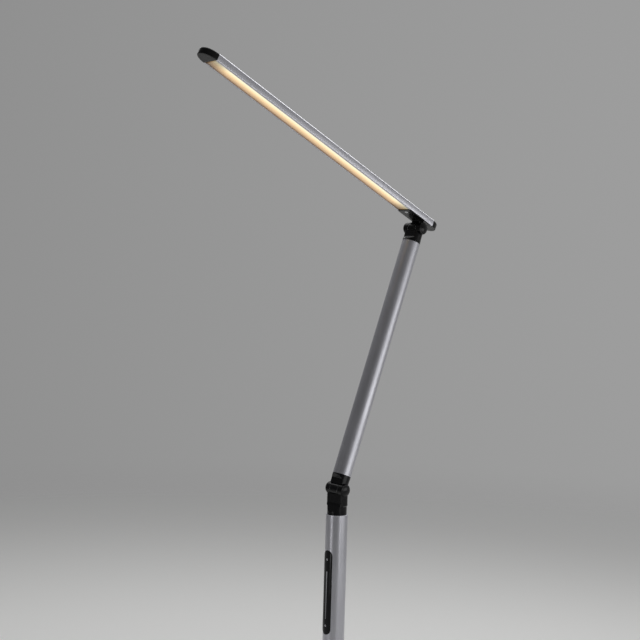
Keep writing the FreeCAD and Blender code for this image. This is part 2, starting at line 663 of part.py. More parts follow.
def post_lead():
    """Lead from the dimmer board up through the elbow's fork."""
    return rod_z(LEAD_RADIUS, DIMMER_TOP, ELBOW_HEIGHT - SLOT_RADIUS - SEAT_GAP, -POST_LEAD_OFFSET)


# ---- Hinges, drawn round their axis, with the tube of a fork below and that of a tongue above ----

def shank(radius, rim, slope, blend, top):
    """Round body from the tube's rim up to top, chamfered front and back to its flats."""
    flat = FITTING_FLAT
    outline = [(-radius, -rim, 0), (radius, -rim, 0), (radius, -rim + RIM_BAND, 0),
               (flat, -rim + RIM_BAND + slope, blend), (flat, top, 0), (-flat, top, 0),
               (-flat, -rim + RIM_BAND + slope, blend), (-radius, -rim + RIM_BAND, 0)]
    slab = rounded_face(outline, along_y)
    slab.translate(Vector(0, -radius, 0))
    body = slab.extrude(Vector(0, 2 * radius, 0)).common(rod_z(radius, -rim, top))
    rounded = []
    for edge in body.Edges:
        middle = edge.valueAt((edge.FirstParameter + edge.LastParameter) / 2)
        on_round = abs(sqrt(middle.x ** 2 + middle.y ** 2) - radius) < 0.01
        inside = -rim + RIM_BAND / 2 < middle.z < top - 0.01
        if on_round and inside and edge.BoundBox.ZLength > 0.01:
            seam = edge.BoundBox.XLength < 0.001 and abs(middle.x) > radius - 0.01
            seam = seam or (edge.BoundBox.YLength < 0.001 and abs(middle.y) < 0.01)
            if not seam:
                rounded.append(edge)
    return body.makeFillet(FITTING_EDGE_RADIUS, rounded)


def spigot(radius, wall, rim):
    """Hollow plug under the rim, which fits inside the tube."""
    outer = radius - wall - FIT_GAP
    plug = rod_z(outer, -rim - SPIGOT_LENGTH, -rim)
    return plug.cut(rod_z(outer - SPIGOT_WALL, -rim - SPIGOT_LENGTH, -rim - SPIGOT_WALL))


def ear_bores():
    """Cutters for the bolt and for the pockets of its head and nut."""
    cutters = [rod_y(BOLT_RADIUS + FIT_GAP, -CAP_SEAT, CAP_SEAT)]
    cutters.append(rod_y(COUNTERBORE_RADIUS, EAR_SEAT, CAP_SEAT))
    cutters.append(rod_y(COUNTERBORE_RADIUS, -CAP_SEAT, -EAR_SEAT))
    return cutters


def fork(radius, wall, rim, slope, blend, lead_x):
    """Fitting with two ears, on the end of a tube that comes up from below."""
    body = shank(radius, rim, slope, blend, 0)
    barrel = rod_y(KNUCKLE_RADIUS, -CAP_SEAT, CAP_SEAT)
    body = united(body, barrel, spigot(radius, wall, rim))
    slot = bar(-radius * 2, radius * 2, EAR_INNER, -SLOT_LIP_DROP, KNUCKLE_RADIUS * 2)
    hollow = rod_y(SLOT_RADIUS, -EAR_INNER, EAR_INNER)
    lead_hole = rod_z(LEAD_HOLE, -rim - SPIGOT_LENGTH, 0, lead_x)
    grub = grub_pocket(radius, -rim - SPIGOT_LENGTH / 2)
    return body.cut([united(slot, hollow), lead_hole, grub] + ear_bores())


def throat_groove():
    """Cutter that narrows the post's fork to the tube's bore, from the tube up to the ears."""
    throat = POST_BORE - FIT_GAP
    far = POST_RADIUS * 2
    corners = [Vector(throat, 0, -POST_RIM), Vector(far, 0, -POST_RIM), Vector(far, 0, -THROAT_DROP),
               Vector(POST_RADIUS, 0, -THROAT_DROP), Vector(throat, 0, -THROAT_DROP - THROAT_FLARE)]
    section = Part.Face(Part.makePolygon(corners + corners[:1]))
    return section.revolve(Vector(0, 0, 0), Vector(0, 0, 1), 360)


def tongue_on_tube(radius, wall, rim, slope, blend):
    """Fitting with one tongue and a collar hollowed round the knuckle, on a tube that goes up."""
    collar = shank(radius, rim, slope, blend, -COLLAR_LIP_RISE)
    collar = collar.cut(rod_y(COLLAR_HOLLOW, -radius, radius))
    body = united(collar, spigot(radius, wall, rim))
    body.rotate(Vector(0, 0, 0), Vector(1, 0, 0), 180)
    grub = grub_pocket(radius, rim + SPIGOT_LENGTH / 2)
    neck_top = COLLAR_HOLLOW + SWING_GAP
    body = drilled_tongue(body, TONGUE_NECK / 2, neck_top, rim + SPIGOT_LENGTH, LEAD_HOLE)
    return body.cut(grub)


def drilled_tongue(body, half_depth, neck_top, lead_top, lead_hole_radius):
    """Adds the tongue to the body above it, and bores it for the bush and lead."""
    half = TONGUE_WIDTH / 2
    knuckle = rod_y(TONGUE_RADIUS, -half, half)
    neck = bar(-half_depth, half_depth, half, 0, neck_top)
    lead_hole = rod_z(lead_hole_radius, 0, lead_top)
    return united(body, knuckle, neck).cut([rod_y(BUSH_RADIUS, -half, half), lead_hole])


def hinge_bolt():
    """Low-head socket bolt through both ears."""
    head = rod_y(BOLT_HEAD_RADIUS, -EAR_SEAT - BOLT_HEAD_HEIGHT, -EAR_SEAT)
    body = rod_y(BOLT_RADIUS, -EAR_SEAT, EAR_SEAT + NUT_HEIGHT)
    socket_start = -EAR_SEAT - BOLT_HEAD_HEIGHT
    socket = rod_y(BOLT_SOCKET_RADIUS, socket_start, socket_start + BOLT_SOCKET_DEPTH)
    return united(head, body).cut(socket)


def hinge_nut():
    nut = hex_prism_y(NUT_ACROSS, EAR_SEAT, EAR_SEAT + NUT_HEIGHT)
    return nut.cut(rod_y(BOLT_RADIUS + RUN_GAP, 0, EAR_SEAT + 2 * NUT_HEIGHT))


def hinge_washers():
    """Friction washers between the tongue and the two ears."""
    rings = []
    for start in (TONGUE_WIDTH / 2 + FACE_GAP, -TONGUE_WIDTH / 2 - FACE_GAP - WASHER_THICKNESS):
        ring = rod_y(TONGUE_RADIUS - SEAT_GAP, start, start + WASHER_THICKNESS)
        rings.append(ring.cut(rod_y(BOLT_RADIUS + FIT_GAP, start, start + WASHER_THICKNESS)))
    return rings


def hinge_bush():
    """Bush pressed in the tongue, which turns on the bolt."""
    half = TONGUE_WIDTH / 2
    return rod_y(BUSH_RADIUS, -half, half).cut(rod_y(BUSH_BORE, -half, half))


def hinge_caps():
    """Domed covers that snap in over the bolt's head and the nut."""
    radius = KNUCKLE_RADIUS - CAP_INSET
    rise = CAP_HEIGHT - CAP_RIM
    sphere_radius = (radius ** 2 + rise ** 2) / (2 * rise)
    half_angle = asin(radius / sphere_radius) / 2
    rim_level = CAP_SEAT + CAP_RIM
    crown = CAP_SEAT + CAP_HEIGHT
    centre = crown - sphere_radius
    middle = Vector(sphere_radius * sin(half_angle), centre + sphere_radius * cos(half_angle), 0)
    dome = Part.Arc(Vector(radius, rim_level, 0), middle, Vector(0, crown, 0)).toShape()
    outline = Part.makePolygon([Vector(0, crown, 0), Vector(0, CAP_SEAT, 0),
                                Vector(radius, CAP_SEAT, 0), Vector(radius, rim_level, 0)])
    cap = Part.Face(Part.Wire(outline.Edges + [dome])).revolve(Vector(0, 0, 0), Vector(0, 1, 0), 360)
    skirt_radius = COUNTERBORE_RADIUS - FIT_GAP
    skirt = rod_y(skirt_radius, CAP_SEAT - CAP_SKIRT, CAP_SEAT)
    skirt = skirt.cut(rod_y(skirt_radius - CAP_SKIRT_WALL, 0, CAP_SEAT))
    right = united(cap, skirt)
    left = right.mirror(Vector(0, 0, 0), Vector(0, 1, 0))
    return [right, left]


# ---- Arm, drawn upright from the elbow's axis ----

ARM_TUBE_TOP = ARM_SPAN - ARM_UPPER_RIM
ARM_GRUB_HEIGHTS = (ARM_LOWER_RIM + SPIGOT_LENGTH / 2, ARM_TUBE_TOP - SPIGOT_LENGTH / 2)


def arm_tube():
    body = tube(ARM_RADIUS, ARM_WALL, ARM_LOWER_RIM, ARM_TUBE_TOP)
    return body.cut([back_hole(ARM_RADIUS, height) for height in ARM_GRUB_HEIGHTS])


def arm_lead():
    """Lead through the arm, from the elbow's tongue to the floor of the head's fork."""
    return rod_z(LEAD_RADIUS, BUSH_RADIUS + SEAT_GAP, ARM_SPAN - SLOT_RADIUS - SEAT_GAP)


# ---- Head, drawn along X from the head hinge's axis ----

def profile_section():
    half = HEAD_WIDTH / 2
    return [(-half, HEAD_DROP, PROFILE_LOWER_RADIUS), (half, HEAD_DROP, PROFILE_LOWER_RADIUS),
            (half, HEAD_TOP, PROFILE_EDGE_RADIUS), (-half, HEAD_TOP, PROFILE_EDGE_RADIUS)]


def profile_bar(start, end):
    face = rounded_face(profile_section(), along_x)
    face.translate(Vector(start, 0, 0))
    return face.extrude(Vector(end - start, 0, 0))


def head_profile():
    """Extruded channel, open below between two lips that carry the diffuser."""
    cavity = bar(HEAD_REAR, HEAD_FRONT, CAVITY_HALF, LIP_TOP, CAVITY_TOP)
    mouth = bar(HEAD_REAR, HEAD_FRONT, MOUTH_HALF, HEAD_DROP - LIP_THICKNESS, LIP_TOP)
    return profile_bar(HEAD_REAR, HEAD_FRONT).cut([cavity, mouth])


def diffuser():
    """Opal strip that lies on the lips."""
    return bar(DIFFUSER_START, DIFFUSER_END, CAVITY_HALF - SEAT_GAP, LIP_TOP,
               LIP_TOP + DIFFUSER_THICKNESS)


def led_board():
    return bar(LED_BOARD_START, HEAD_FRONT - LED_BOARD_END_MARGIN, LED_BOARD_WIDTH / 2,
               LED_BOARD_BOTTOM, CAVITY_TOP)


def led_chips():
    """Row of light-emitting diodes on the underside of their board."""
    first = LED_BOARD_START + LED_PITCH
    last = HEAD_FRONT - LED_BOARD_END_MARGIN - LED_PITCH / 2
    chips = []
    for number in range(int((last - first) / LED_PITCH) + 1):
        middle = first + number * LED_PITCH
        chips.append(bar(middle - LED_LENGTH / 2, middle + LED_LENGTH / 2, LED_WIDTH / 2,
                         LED_BOARD_BOTTOM - LED_HEIGHT, LED_BOARD_BOTTOM))
    return chips


def quarter_ellipse(end, length, side):
    """Exact quarter of an end cap's plan from its side to its nose, as one weighted curve."""
    half = HEAD_WIDTH / 2 * side
    nose = end + length
    curve = Part.BezierCurve()
    curve.setPoles([Vector(end, half, 0), Vector(nose, half, 0), Vector(nose, 0, 0)])
    curve.setWeight(2, sqrt(0.5))
    return curve.toShape()


def oval_nose(end, length):
    """Half-oval nose on one end of the profile, rounded like it. A negative length points back."""
    half = HEAD_WIDTH / 2
    chord = Part.LineSegment(Vector(end, half, 0), Vector(end, -half, 0)).toShape()
    curves = [quarter_ellipse(end, length, 1), quarter_ellipse(end, length, -1)]
    plan = Part.Face(Part.Wire(Part.__sortEdges__([chord] + curves)))
    plan.translate(Vector(0, 0, HEAD_DROP))
    nose = plan.extrude(Vector(0, 0, HEAD_THICKNESS))
    nose = fillet_rim(nose, HEAD_TOP, NOSE_TOP_RADIUS)
    return fillet_rim(nose, HEAD_DROP, NOSE_LOWER_RADIUS)


def tip_cap():
    """Front end cap, with a plug and two prongs that fit inside the profile."""
    plug_start = DIFFUSER_END + SEAT_GAP
    plug = bar(plug_start, HEAD_FRONT, CAVITY_HALF - FIT_GAP, LIP_TOP, CAVITY_TOP - FIT_GAP)
    filler = bar(plug_start, HEAD_FRONT, MOUTH_HALF - FIT_GAP, HEAD_DROP, LIP_TOP)
    body = united(oval_nose(HEAD_FRONT, TIP_LENGTH), plug, filler)
    prong_bottom = LIP_TOP + DIFFUSER_THICKNESS + SEAT_GAP
    for side in (-1, 1):
        inner = (CAVITY_HALF - FIT_GAP - TIP_PRONG_WIDTH) * side
        outer = (CAVITY_HALF - FIT_GAP) * side
        prong = block(HEAD_FRONT - TIP_PRONG_LENGTH, HEAD_FRONT, min(inner, outer),
                      max(inner, outer), prong_bottom, CAVITY_TOP - FIT_GAP)
        body = united(body, prong)
    return body


def fillet_rim(body, level, radius):
    """Rounds the curved rim of the nose at one level, leaving its straight chord sharp."""
    rim = []
    for edge in body.Edges:
        box = edge.BoundBox
        flat = box.ZLength < 0.001 and abs(box.ZMin - level) < 0.001
        if flat and box.XLength > 0.01:
            rim.append(edge)
    return body.makeFillet(radius, rim)


def rear_cap():
    """End cap behind the hinge, with a plug above the backing plate."""
    plug = bar(HEAD_REAR, HEAD_REAR + REAR_PLUG_LENGTH, CAVITY_HALF - FIT_GAP,
               BACKING_TOP + SEAT_GAP, CAVITY_TOP - FIT_GAP)
    return united(oval_nose(HEAD_REAR, -REAR_CAP_LENGTH), plug)


def mount_screw_hole(x):
    """Cutter for one countersunk screw of the neck's mount."""
    start = HEAD_DROP - MOUNT_FLANGE
    cone = Part.makeCone(MOUNT_SCREW_HEAD_RADIUS + FIT_GAP, MOUNT_SCREW_RADIUS + FIT_GAP,
                         MOUNT_SCREW_HEAD_HEIGHT, Vector(x, 0, start))
    return united(cone, rod_z(MOUNT_SCREW_RADIUS + FIT_GAP, start, BACKING_TOP, x))


def neck_mount():
    """Cover plate under the rear of the profile, with the neck and tongue that the head turns on."""
    flange = rounded_plate(MOUNT_REAR, MOUNT_FRONT, MOUNT_FLANGE_WIDTH / 2,
                           HEAD_DROP - MOUNT_FLANGE, HEAD_DROP, MOUNT_FLANGE_RADIUS)
    rib = bar(MOUNT_REAR, MOUNT_FRONT, MOUTH_HALF - FIT_GAP, HEAD_DROP, LIP_TOP)
    plate = united(flange, rib)
    body = drilled_tongue(plate, NECK_DEPTH / 2, HEAD_DROP, BACKING_TOP, HEAD_LEAD_RADIUS + SEAT_GAP)
    foot = []
    for edge in body.Edges:
        box = edge.BoundBox
        on_flange = box.ZLength < 0.001 and abs(box.ZMin - HEAD_DROP + MOUNT_FLANGE) < 0.001
        if on_flange and box.XMin > -NECK_DEPTH and box.XMax < NECK_DEPTH and box.YLength > NECK_DEPTH:
            foot.append(edge)
    body = body.makeFillet(NECK_FILLET, foot)
    return body.cut([mount_screw_hole(x) for x in MOUNT_SCREW_PLACES])


def backing_plate():
    """Threaded steel strip inside the profile, which the neck's screws pull on to the lips."""
    plate = bar(MOUNT_REAR, MOUNT_FRONT - SEAT_GAP, CAVITY_HALF - SEAT_GAP, LIP_TOP, BACKING_TOP)
    holes = [rod_z(MOUNT_SCREW_RADIUS + RUN_GAP, 0, HEAD_TOP, x) for x in MOUNT_SCREW_PLACES]
    lead_hole = rod_z(HEAD_LEAD_RADIUS + 2 * SEAT_GAP, 0, HEAD_TOP)
    return plate.cut(holes + [lead_hole])


def neck_screws():
    screws = []
    start = HEAD_DROP - MOUNT_FLANGE
    for x in MOUNT_SCREW_PLACES:
        head = Part.makeCone(MOUNT_SCREW_HEAD_RADIUS, MOUNT_SCREW_RADIUS, MOUNT_SCREW_HEAD_HEIGHT,
                             Vector(x, 0, start))
        body = rod_z(MOUNT_SCREW_RADIUS, start, BACKING_TOP + MOUNT_SCREW_REACH, x)
        slot = bar(x - MOUNT_SCREW_HEAD_RADIUS, x + MOUNT_SCREW_HEAD_RADIUS, SEAT_GAP, start,
                   start + MOUNT_SCREW_HEAD_HEIGHT / 2)
        screws.append(united(head, body).cut(slot))
    return screws


def head_lead():
    """Lead from the neck's bore up into the profile and along to the light-source board."""
    level = LED_BOARD_BOTTOM - SEAT_GAP - HEAD_LEAD_RADIUS
    points = [Vector(0, 0, BUSH_RADIUS + SEAT_GAP), Vector(0, 0, level),
              Vector(LED_BOARD_START + LED_PITCH / 2, 0, level)]
    return swept_lead(HEAD_LEAD_RADIUS, points, HEAD_LEAD_BEND)


def build_base():
    save("base_pad", base_pad())
    save("base_weight", base_weight())
    save("base_cover", base_cover())
    save("cord_gland", cord_gland())
    save("terminal_block", terminal_block())
    save("base_bolt", base_bolt())
    save("base_washer", base_washer())
    save("post_foot_plug", post_foot_plug())
    save("base_collar", base_collar())


def build_post():
    save("post_lower_tube", post_lower_tube())
    save("post_upper_tube", post_upper_tube())
    save("post_coupler", post_coupler())
    grubs = [grub_screw(POST_RADIUS, height) for height in COUPLER_GRUB_HEIGHTS]
    save("post_grub_screws", grub_screw(POST_RADIUS, POST_GRUB_HEIGHT), *grubs)
    elbow_fork = fork(POST_RADIUS, POST_WALL, POST_RIM, POST_SLOPE, SLOPE_BLEND, -POST_LEAD_OFFSET)
    save("elbow_fork", on_elbow(elbow_fork.cut(throat_groove())))
    save("touch_panel", touch_panel())
    save("touch_marks", *touch_marks())
    save("touch_board", touch_board())
    save("touch_board_screws", *touch_board_screws())
    save("dimmer_board", dimmer_board())
    save("dimmer_components", *dimmer_components())
    save("touch_ribbon", touch_ribbon())
    save("base_lead", base_lead())
    save("post_lead", post_lead())


def build_elbow():
    save("elbow_bolt", on_elbow(hinge_bolt()))
    save("elbow_nut", on_elbow(hinge_nut()))
    save("elbow_washers", *[on_elbow(ring) for ring in hinge_washers()])
    save("elbow_caps", *[on_elbow(cap) for cap in hinge_caps()])


def build_arm():
    save("arm_lower_fitting", on_arm(tongue_on_tube(ARM_RADIUS, ARM_WALL, ARM_LOWER_RIM, ARM_SLOPE,
                                                    ARM_SLOPE_BLEND)))
    save("elbow_bush", on_arm(hinge_bush()))
    save("arm_tube", on_arm(arm_tube()))
    save("arm_lead", on_arm(arm_lead()))
    save("arm_grub_screws", *[on_arm(grub_screw(ARM_RADIUS, height)) for height in ARM_GRUB_HEIGHTS])
    save("head_fork", at_arm_end(fork(ARM_RADIUS, ARM_WALL, ARM_UPPER_RIM, ARM_SLOPE,
                                      ARM_SLOPE_BLEND, 0)))
    save("head_hinge_bolt", at_arm_end(hinge_bolt()))
    save("head_hinge_nut", at_arm_end(hinge_nut()))
    save("head_hinge_washers", *[at_arm_end(ring) for ring in hinge_washers()])
    save("head_hinge_caps", *[at_arm_end(cap) for cap in hinge_caps()])


def build_head():
    save("neck_mount", on_head(neck_mount()))
    save("head_bush", on_head(hinge_bush()))
    save("backing_plate", on_head(backing_plate()))
    save("neck_screws", *[on_head(screw) for screw in neck_screws()])
    save("head_profile", on_head(head_profile()))
    save("diffuser", on_head(diffuser()))
    save("led_board", on_head(led_board()))
    save("led_chips", *[on_head(chip) for chip in led_chips()])
    save("head_lead", on_head(head_lead()))
    save("tip_cap", on_head(tip_cap()))
    save("rear_cap", on_head(rear_cap()))


os.makedirs("parts", exist_ok=True)
build_base()
build_post()
build_elbow()
build_arm()
build_head()
print("nodes", len(os.listdir("parts")))
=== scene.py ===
import json
from math import atan2, radians

import bmesh
import bpy
import numpy as np
from mathutils import Matrix, Vector


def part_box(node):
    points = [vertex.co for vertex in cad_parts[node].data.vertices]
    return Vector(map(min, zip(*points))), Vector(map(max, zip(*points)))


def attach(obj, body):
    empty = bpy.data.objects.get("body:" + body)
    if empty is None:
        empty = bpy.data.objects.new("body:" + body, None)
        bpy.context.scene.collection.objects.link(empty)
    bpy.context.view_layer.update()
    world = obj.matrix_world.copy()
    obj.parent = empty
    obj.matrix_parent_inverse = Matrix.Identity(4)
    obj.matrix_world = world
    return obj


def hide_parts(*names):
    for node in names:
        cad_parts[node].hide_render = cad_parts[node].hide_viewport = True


# Office floor lamp, in metres: X to the lamp's front, Y along both hinge pins, Z up from the floor.
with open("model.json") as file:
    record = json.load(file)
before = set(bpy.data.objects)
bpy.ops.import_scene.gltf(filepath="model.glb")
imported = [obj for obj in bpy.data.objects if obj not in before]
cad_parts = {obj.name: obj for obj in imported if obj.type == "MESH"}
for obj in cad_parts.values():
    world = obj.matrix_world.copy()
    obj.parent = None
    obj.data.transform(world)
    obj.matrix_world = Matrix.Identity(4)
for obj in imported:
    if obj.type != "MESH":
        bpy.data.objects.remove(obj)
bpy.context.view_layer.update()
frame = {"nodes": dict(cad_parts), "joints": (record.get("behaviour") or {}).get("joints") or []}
nodes = frame["nodes"]
scene = bpy.context.scene
scene.view_settings.view_transform = "Standard"

# ---- Camera ----
# It stands at the photograph's angle, in front of the lamp and to its +Y side, a little above the
# elbow, with the lens and the slight roll that put both hinges where the photograph has them.

CAMERA_LENS = 65.887
CAMERA_PLACE = (1.176182, 1.236199, 1.234514)
CAMERA_TURN = (radians(87.083), radians(-1.5946), radians(137.607))

camera_data = bpy.data.cameras.new("camera")
camera_data.lens = CAMERA_LENS
camera = bpy.data.objects.new("camera", camera_data)
camera.location = CAMERA_PLACE
camera.rotation_euler = CAMERA_TURN
scene.collection.objects.link(camera)
scene.camera = camera

# ---- Studio ----
# A room that is grey behind the lamp and dim in front of it, so that tubes shade from dark to
# bright. Soft lights stand at its side, behind it for the head's upper edge, low as two upright
# strips for the post's bands, and overhead. The pale floor fades out far away.

ROOM_DIM = 0.07
ROOM_GREY = 0.36

world = bpy.data.worlds.new("studio")
world.use_nodes = True
scene.world = world
world_nodes = world.node_tree.nodes
direction = world_nodes.new("ShaderNodeTexCoord")
split = world_nodes.new("ShaderNodeSeparateXYZ")
fade = world_nodes.new("ShaderNodeMapRange")
fade.inputs["From Min"].default_value = 1.0
fade.inputs["From Max"].default_value = -1.0
fade.inputs["To Min"].default_value = ROOM_DIM
fade.inputs["To Max"].default_value = ROOM_GREY
world.node_tree.links.new(direction.outputs["Generated"], split.inputs[0])
world.node_tree.links.new(split.outputs["X"], fade.inputs["Value"])
world.node_tree.links.new(fade.outputs["Result"], world_nodes["Background"].inputs["Color"])

LAMP_MIDDLE = Vector((-0.05, 0, 1.25))


def soft_lamp(name, place, width, height, power):
    """A rectangular area lamp that faces the lamp's upper half and isn't seen itself."""
    data = bpy.data.lights.new(name, "AREA")
    data.shape = "RECTANGLE"
    data.size = width
    data.size_y = height
    data.energy = power
    lamp = bpy.data.objects.new(name, data)
    lamp.location = place
    lamp.rotation_euler = (LAMP_MIDDLE - Vector(place)).to_track_quat("-Z", "Y").to_euler()
    lamp.visible_camera = False
    scene.collection.objects.link(lamp)


soft_lamp("right_softbox", (-0.72, 1.82, 0.99), 1.9, 0.7, 7.8)
soft_lamp("rear_softbox", (-2.10, -0.80, 2.50), 1.4, 1.4, 12.0)
soft_lamp("front_strip", (1.95, -0.20, 0.68), 0.34, 0.8, 1.6)
soft_lamp("side_strip", (0.25, 2.00, 0.68), 0.14, 0.8, 0.8)
soft_lamp("overhead", (-0.8, -0.8, 3.6), 4.6, 4.6, 74.0)

FLOOR_RADIUS = 7.0
FLOOR_HOLE = 0.02
FLOOR_SOLID = 2.2
FLOOR_GONE = 5.6
FLOOR_RINGS = 12
FLOOR_SIDES = 96
PALE = (0.86, 0.86, 0.85)


def floor_disc():
    """Flat rings round the post: a point is (radius sin angle, radius cos angle, 0)."""
    angle = np.linspace(0, 2 * np.pi, FLOOR_SIDES, endpoint=False)
    radius = np.linspace(FLOOR_HOLE, FLOOR_RADIUS, FLOOR_RINGS)[:, None]
    x = radius * np.sin(angle)
    y = radius * np.cos(angle)
    return np.stack([x, y, np.zeros_like(x)], axis=2)


def skin(name, grid, wrap_columns=False, fill_ends=False, crease=35):
    """Mesh over a grid of points, rows by columns, whose sides may meet and ends be filled flat.
    Points that coincide, as at a pole, are merged, and the faces are turned to point outwards."""
    rows, columns = grid.shape[:2]
    index = np.arange(rows * columns).reshape(rows, columns)
    if wrap_columns:
        index = np.hstack([index, index[:, :1]])
    quads = np.stack([index[:-1, :-1], index[:-1, 1:], index[1:, 1:], index[1:, :-1]], axis=2)
    faces = quads.reshape(-1, 4).tolist()
    if fill_ends:
        faces += [index[0, :columns].tolist(), index[-1, :columns].tolist()]
    mesh = bpy.data.meshes.new(name)
    mesh.from_pydata(grid.reshape(-1, 3).tolist(), [], faces)
    clean = bmesh.new()
    clean.from_mesh(mesh)
    bmesh.ops.remove_doubles(clean, verts=clean.verts, dist=1e-6)
    bmesh.ops.recalc_face_normals(clean, faces=clean.faces)
    clean.to_mesh(mesh)
    clean.free()
    mesh.polygons.foreach_set("use_smooth", [True] * len(mesh.polygons))
    mesh.set_sharp_from_angle(angle=radians(crease))
    piece = bpy.data.objects.new(name, mesh)
    scene.collection.objects.link(piece)
    return piece


floor = skin("floor", floor_disc(), wrap_columns=True)
floor_paint = bpy.data.materials.new("pale_floor")
floor_paint.use_nodes = True
tree = floor_paint.node_tree
shader = tree.nodes["Principled BSDF"]
shader.inputs["Base Color"].default_value = (*PALE, 1)
shader.inputs["Roughness"].default_value = 0.75
spot = tree.nodes.new("ShaderNodeTexCoord")
length = tree.nodes.new("ShaderNodeVectorMath")
length.operation = "LENGTH"
edge = tree.nodes.new("ShaderNodeMapRange")
edge.interpolation_type = "SMOOTHSTEP"
edge.inputs["From Min"].default_value = FLOOR_SOLID
edge.inputs["From Max"].default_value = FLOOR_GONE
edge.inputs["To Min"].default_value = 1.0
edge.inputs["To Max"].default_value = 0.0
tree.links.new(spot.outputs["Object"], length.inputs[0])
tree.links.new(length.outputs["Value"], edge.inputs["Value"])
tree.links.new(edge.outputs["Result"], shader.inputs["Alpha"])
floor.data.materials.append(floor_paint)

# ---- Round base ----
# A pressed steel cover, powder coated silver, over a cast weight that stands on a glued rubber pad.


SMUDGES_PER_METRE = 22.0


def spread(tree, value, bounds, out):
    """A Map Range node that carries value from its bounds to the range out."""
    node = tree.nodes.new("ShaderNodeMapRange")
    names = ("From Min", "From Max", "To Min", "To Max")
    for name, number in zip(names, (*bounds, *out)):
        node.inputs[name].default_value = number
    tree.links.new(value, node.inputs["Value"])
    return node


def finish(name, colour, roughness, metallic=0.0, grain=(1, 1, 1), lean=0.0, depth=0.0,
           mottle=0.06, rough_spread=0.06, smudge=0.05, specular=0.5):
    """A coat or bare metal whose grain is a noise squeezed by grain and turned by lean about Y.
    The fine grain moves the tone, the sheen and the surface, and broad smudges move the sheen."""
    material = bpy.data.materials.new(name)
    material.use_nodes = True
    tree = material.node_tree
    shader = tree.nodes["Principled BSDF"]
    shader.inputs["Metallic"].default_value = metallic
    shader.inputs["Specular IOR Level"].default_value = specular
    place = tree.nodes.new("ShaderNodeTexCoord")
    turn = tree.nodes.new("ShaderNodeMapping")
    turn.vector_type = "TEXTURE"
    turn.inputs["Rotation"].default_value = (0, lean, 0)
    squeeze = tree.nodes.new("ShaderNodeMapping")
    squeeze.inputs["Scale"].default_value = grain
    fine = tree.nodes.new("ShaderNodeTexNoise")
    fine.inputs["Scale"].default_value = 1.0
    fine.inputs["Detail"].default_value = 3.0
    broad = tree.nodes.new("ShaderNodeTexNoise")
    broad.inputs["Scale"].default_value = SMUDGES_PER_METRE
    broad.inputs["Detail"].default_value = 4.0
    tree.links.new(place.outputs["Object"], turn.inputs["Vector"])
    tree.links.new(turn.outputs["Vector"], squeeze.inputs["Vector"])
    tree.links.new(squeeze.outputs["Vector"], fine.inputs["Vector"])
    tree.links.new(turn.outputs["Vector"], broad.inputs["Vector"])
    tone = tree.nodes.new("ShaderNodeMix")
    tone.data_type = "RGBA"
    darker = [channel * (1 - mottle) for channel in colour]
    lighter = [min(channel * (1 + mottle), 1.0) for channel in colour]
    tone.inputs[6].default_value = (*darker, 1)
    tone.inputs[7].default_value = (*lighter, 1)
    tree.links.new(fine.outputs["Fac"], tone.inputs["Factor"])
    tree.links.new(tone.outputs[2], shader.inputs["Base Color"])
    sheen = spread(tree, fine.outputs["Fac"], (0.3, 0.7),
                   (roughness - rough_spread, roughness + rough_spread))
    wiped = spread(tree, broad.outputs["Fac"], (0.42, 0.68), (0.0, smudge))
    total = tree.nodes.new("ShaderNodeMath")
    tree.links.new(sheen.outputs["Result"], total.inputs[0])
    tree.links.new(wiped.outputs["Result"], total.inputs[1])
    tree.links.new(total.outputs["Value"], shader.inputs["Roughness"])
    if depth:
        bump = tree.nodes.new("ShaderNodeBump")
        bump.inputs["Strength"].default_value = 1.0
        bump.inputs["Distance"].default_value = depth
        tree.links.new(fine.outputs["Fac"], bump.inputs["Height"])
        tree.links.new(bump.outputs["Normal"], shader.inputs["Normal"])
    return material


def coat_node(node, material):
    """Gives a CAD piece its finish."""
    slots = nodes[node].data.materials
    slots.clear()
    slots.append(material)


silver_powder = finish("silver_powder", (0.50, 0.50, 0.53), 0.42, metallic=0.85,
                       grain=(1400, 1400, 1400), depth=0.00006, mottle=0.10, rough_spread=0.07,
                       smudge=0.06)
cast_iron = finish("cast_iron", (0.10, 0.10, 0.10), 0.75, metallic=0.3, grain=(420, 420, 420),
                   depth=0.0003, mottle=0.25)
rubber = finish("rubber", (0.022, 0.022, 0.022), 0.82, grain=(900, 900, 900), depth=0.00008,
                mottle=0.2, smudge=0.08)
coat_node("base_cover", silver_powder)
coat_node("base_weight", cast_iron)
coat_node("base_pad", rubber)
coat_node("cord_gland", rubber)

# ---- Collar and terminal block ----
# Moulded black plastic with a fine spark-eroded texture: the trim ring round the foot of the post,
# the screw terminals in the weight's trench, and the parts on the dimmer's board.

moulded_black = finish("moulded_black", (0.026, 0.026, 0.027), 0.55, grain=(1600, 1600, 1600),
                       depth=0.00008, mottle=0.15, rough_spread=0.08, smudge=0.06)
coat_node("base_collar", moulded_black)
coat_node("terminal_block", moulded_black)
coat_node("dimmer_components", moulded_black)

# ---- Post ----
# Two lengths of drawn aluminium tube, satin anodised: the drawing leaves hair-fine lines along it.

TUBE_GRAIN = (2600, 2600, 9)
SILVER = (0.54, 0.54, 0.58)
upright_silver = finish("upright_silver", SILVER, 0.32, metallic=1.0, grain=TUBE_GRAIN,
                        depth=0.000002, mottle=0.05, rough_spread=0.02)
coat_node("post_lower_tube", upright_silver)
coat_node("post_upper_tube", upright_silver)

# ---- Touch panel ----
# Glossy black cover bent round the post, with two pale inlaid spots and a tapering slider line.
# Fingers leave it a little smeared.

panel_black = finish("panel_black", (0.003, 0.003, 0.0035), 0.08, grain=(60, 60, 30), mottle=0.1,
                     rough_spread=0.03, smudge=0.22, specular=0.24)
pale_inlay = finish("pale_inlay", (0.42, 0.43, 0.45), 0.35, grain=(1500, 1500, 1500), mottle=0.08)
coat_node("touch_panel", panel_black)
coat_node("touch_marks", pale_inlay)

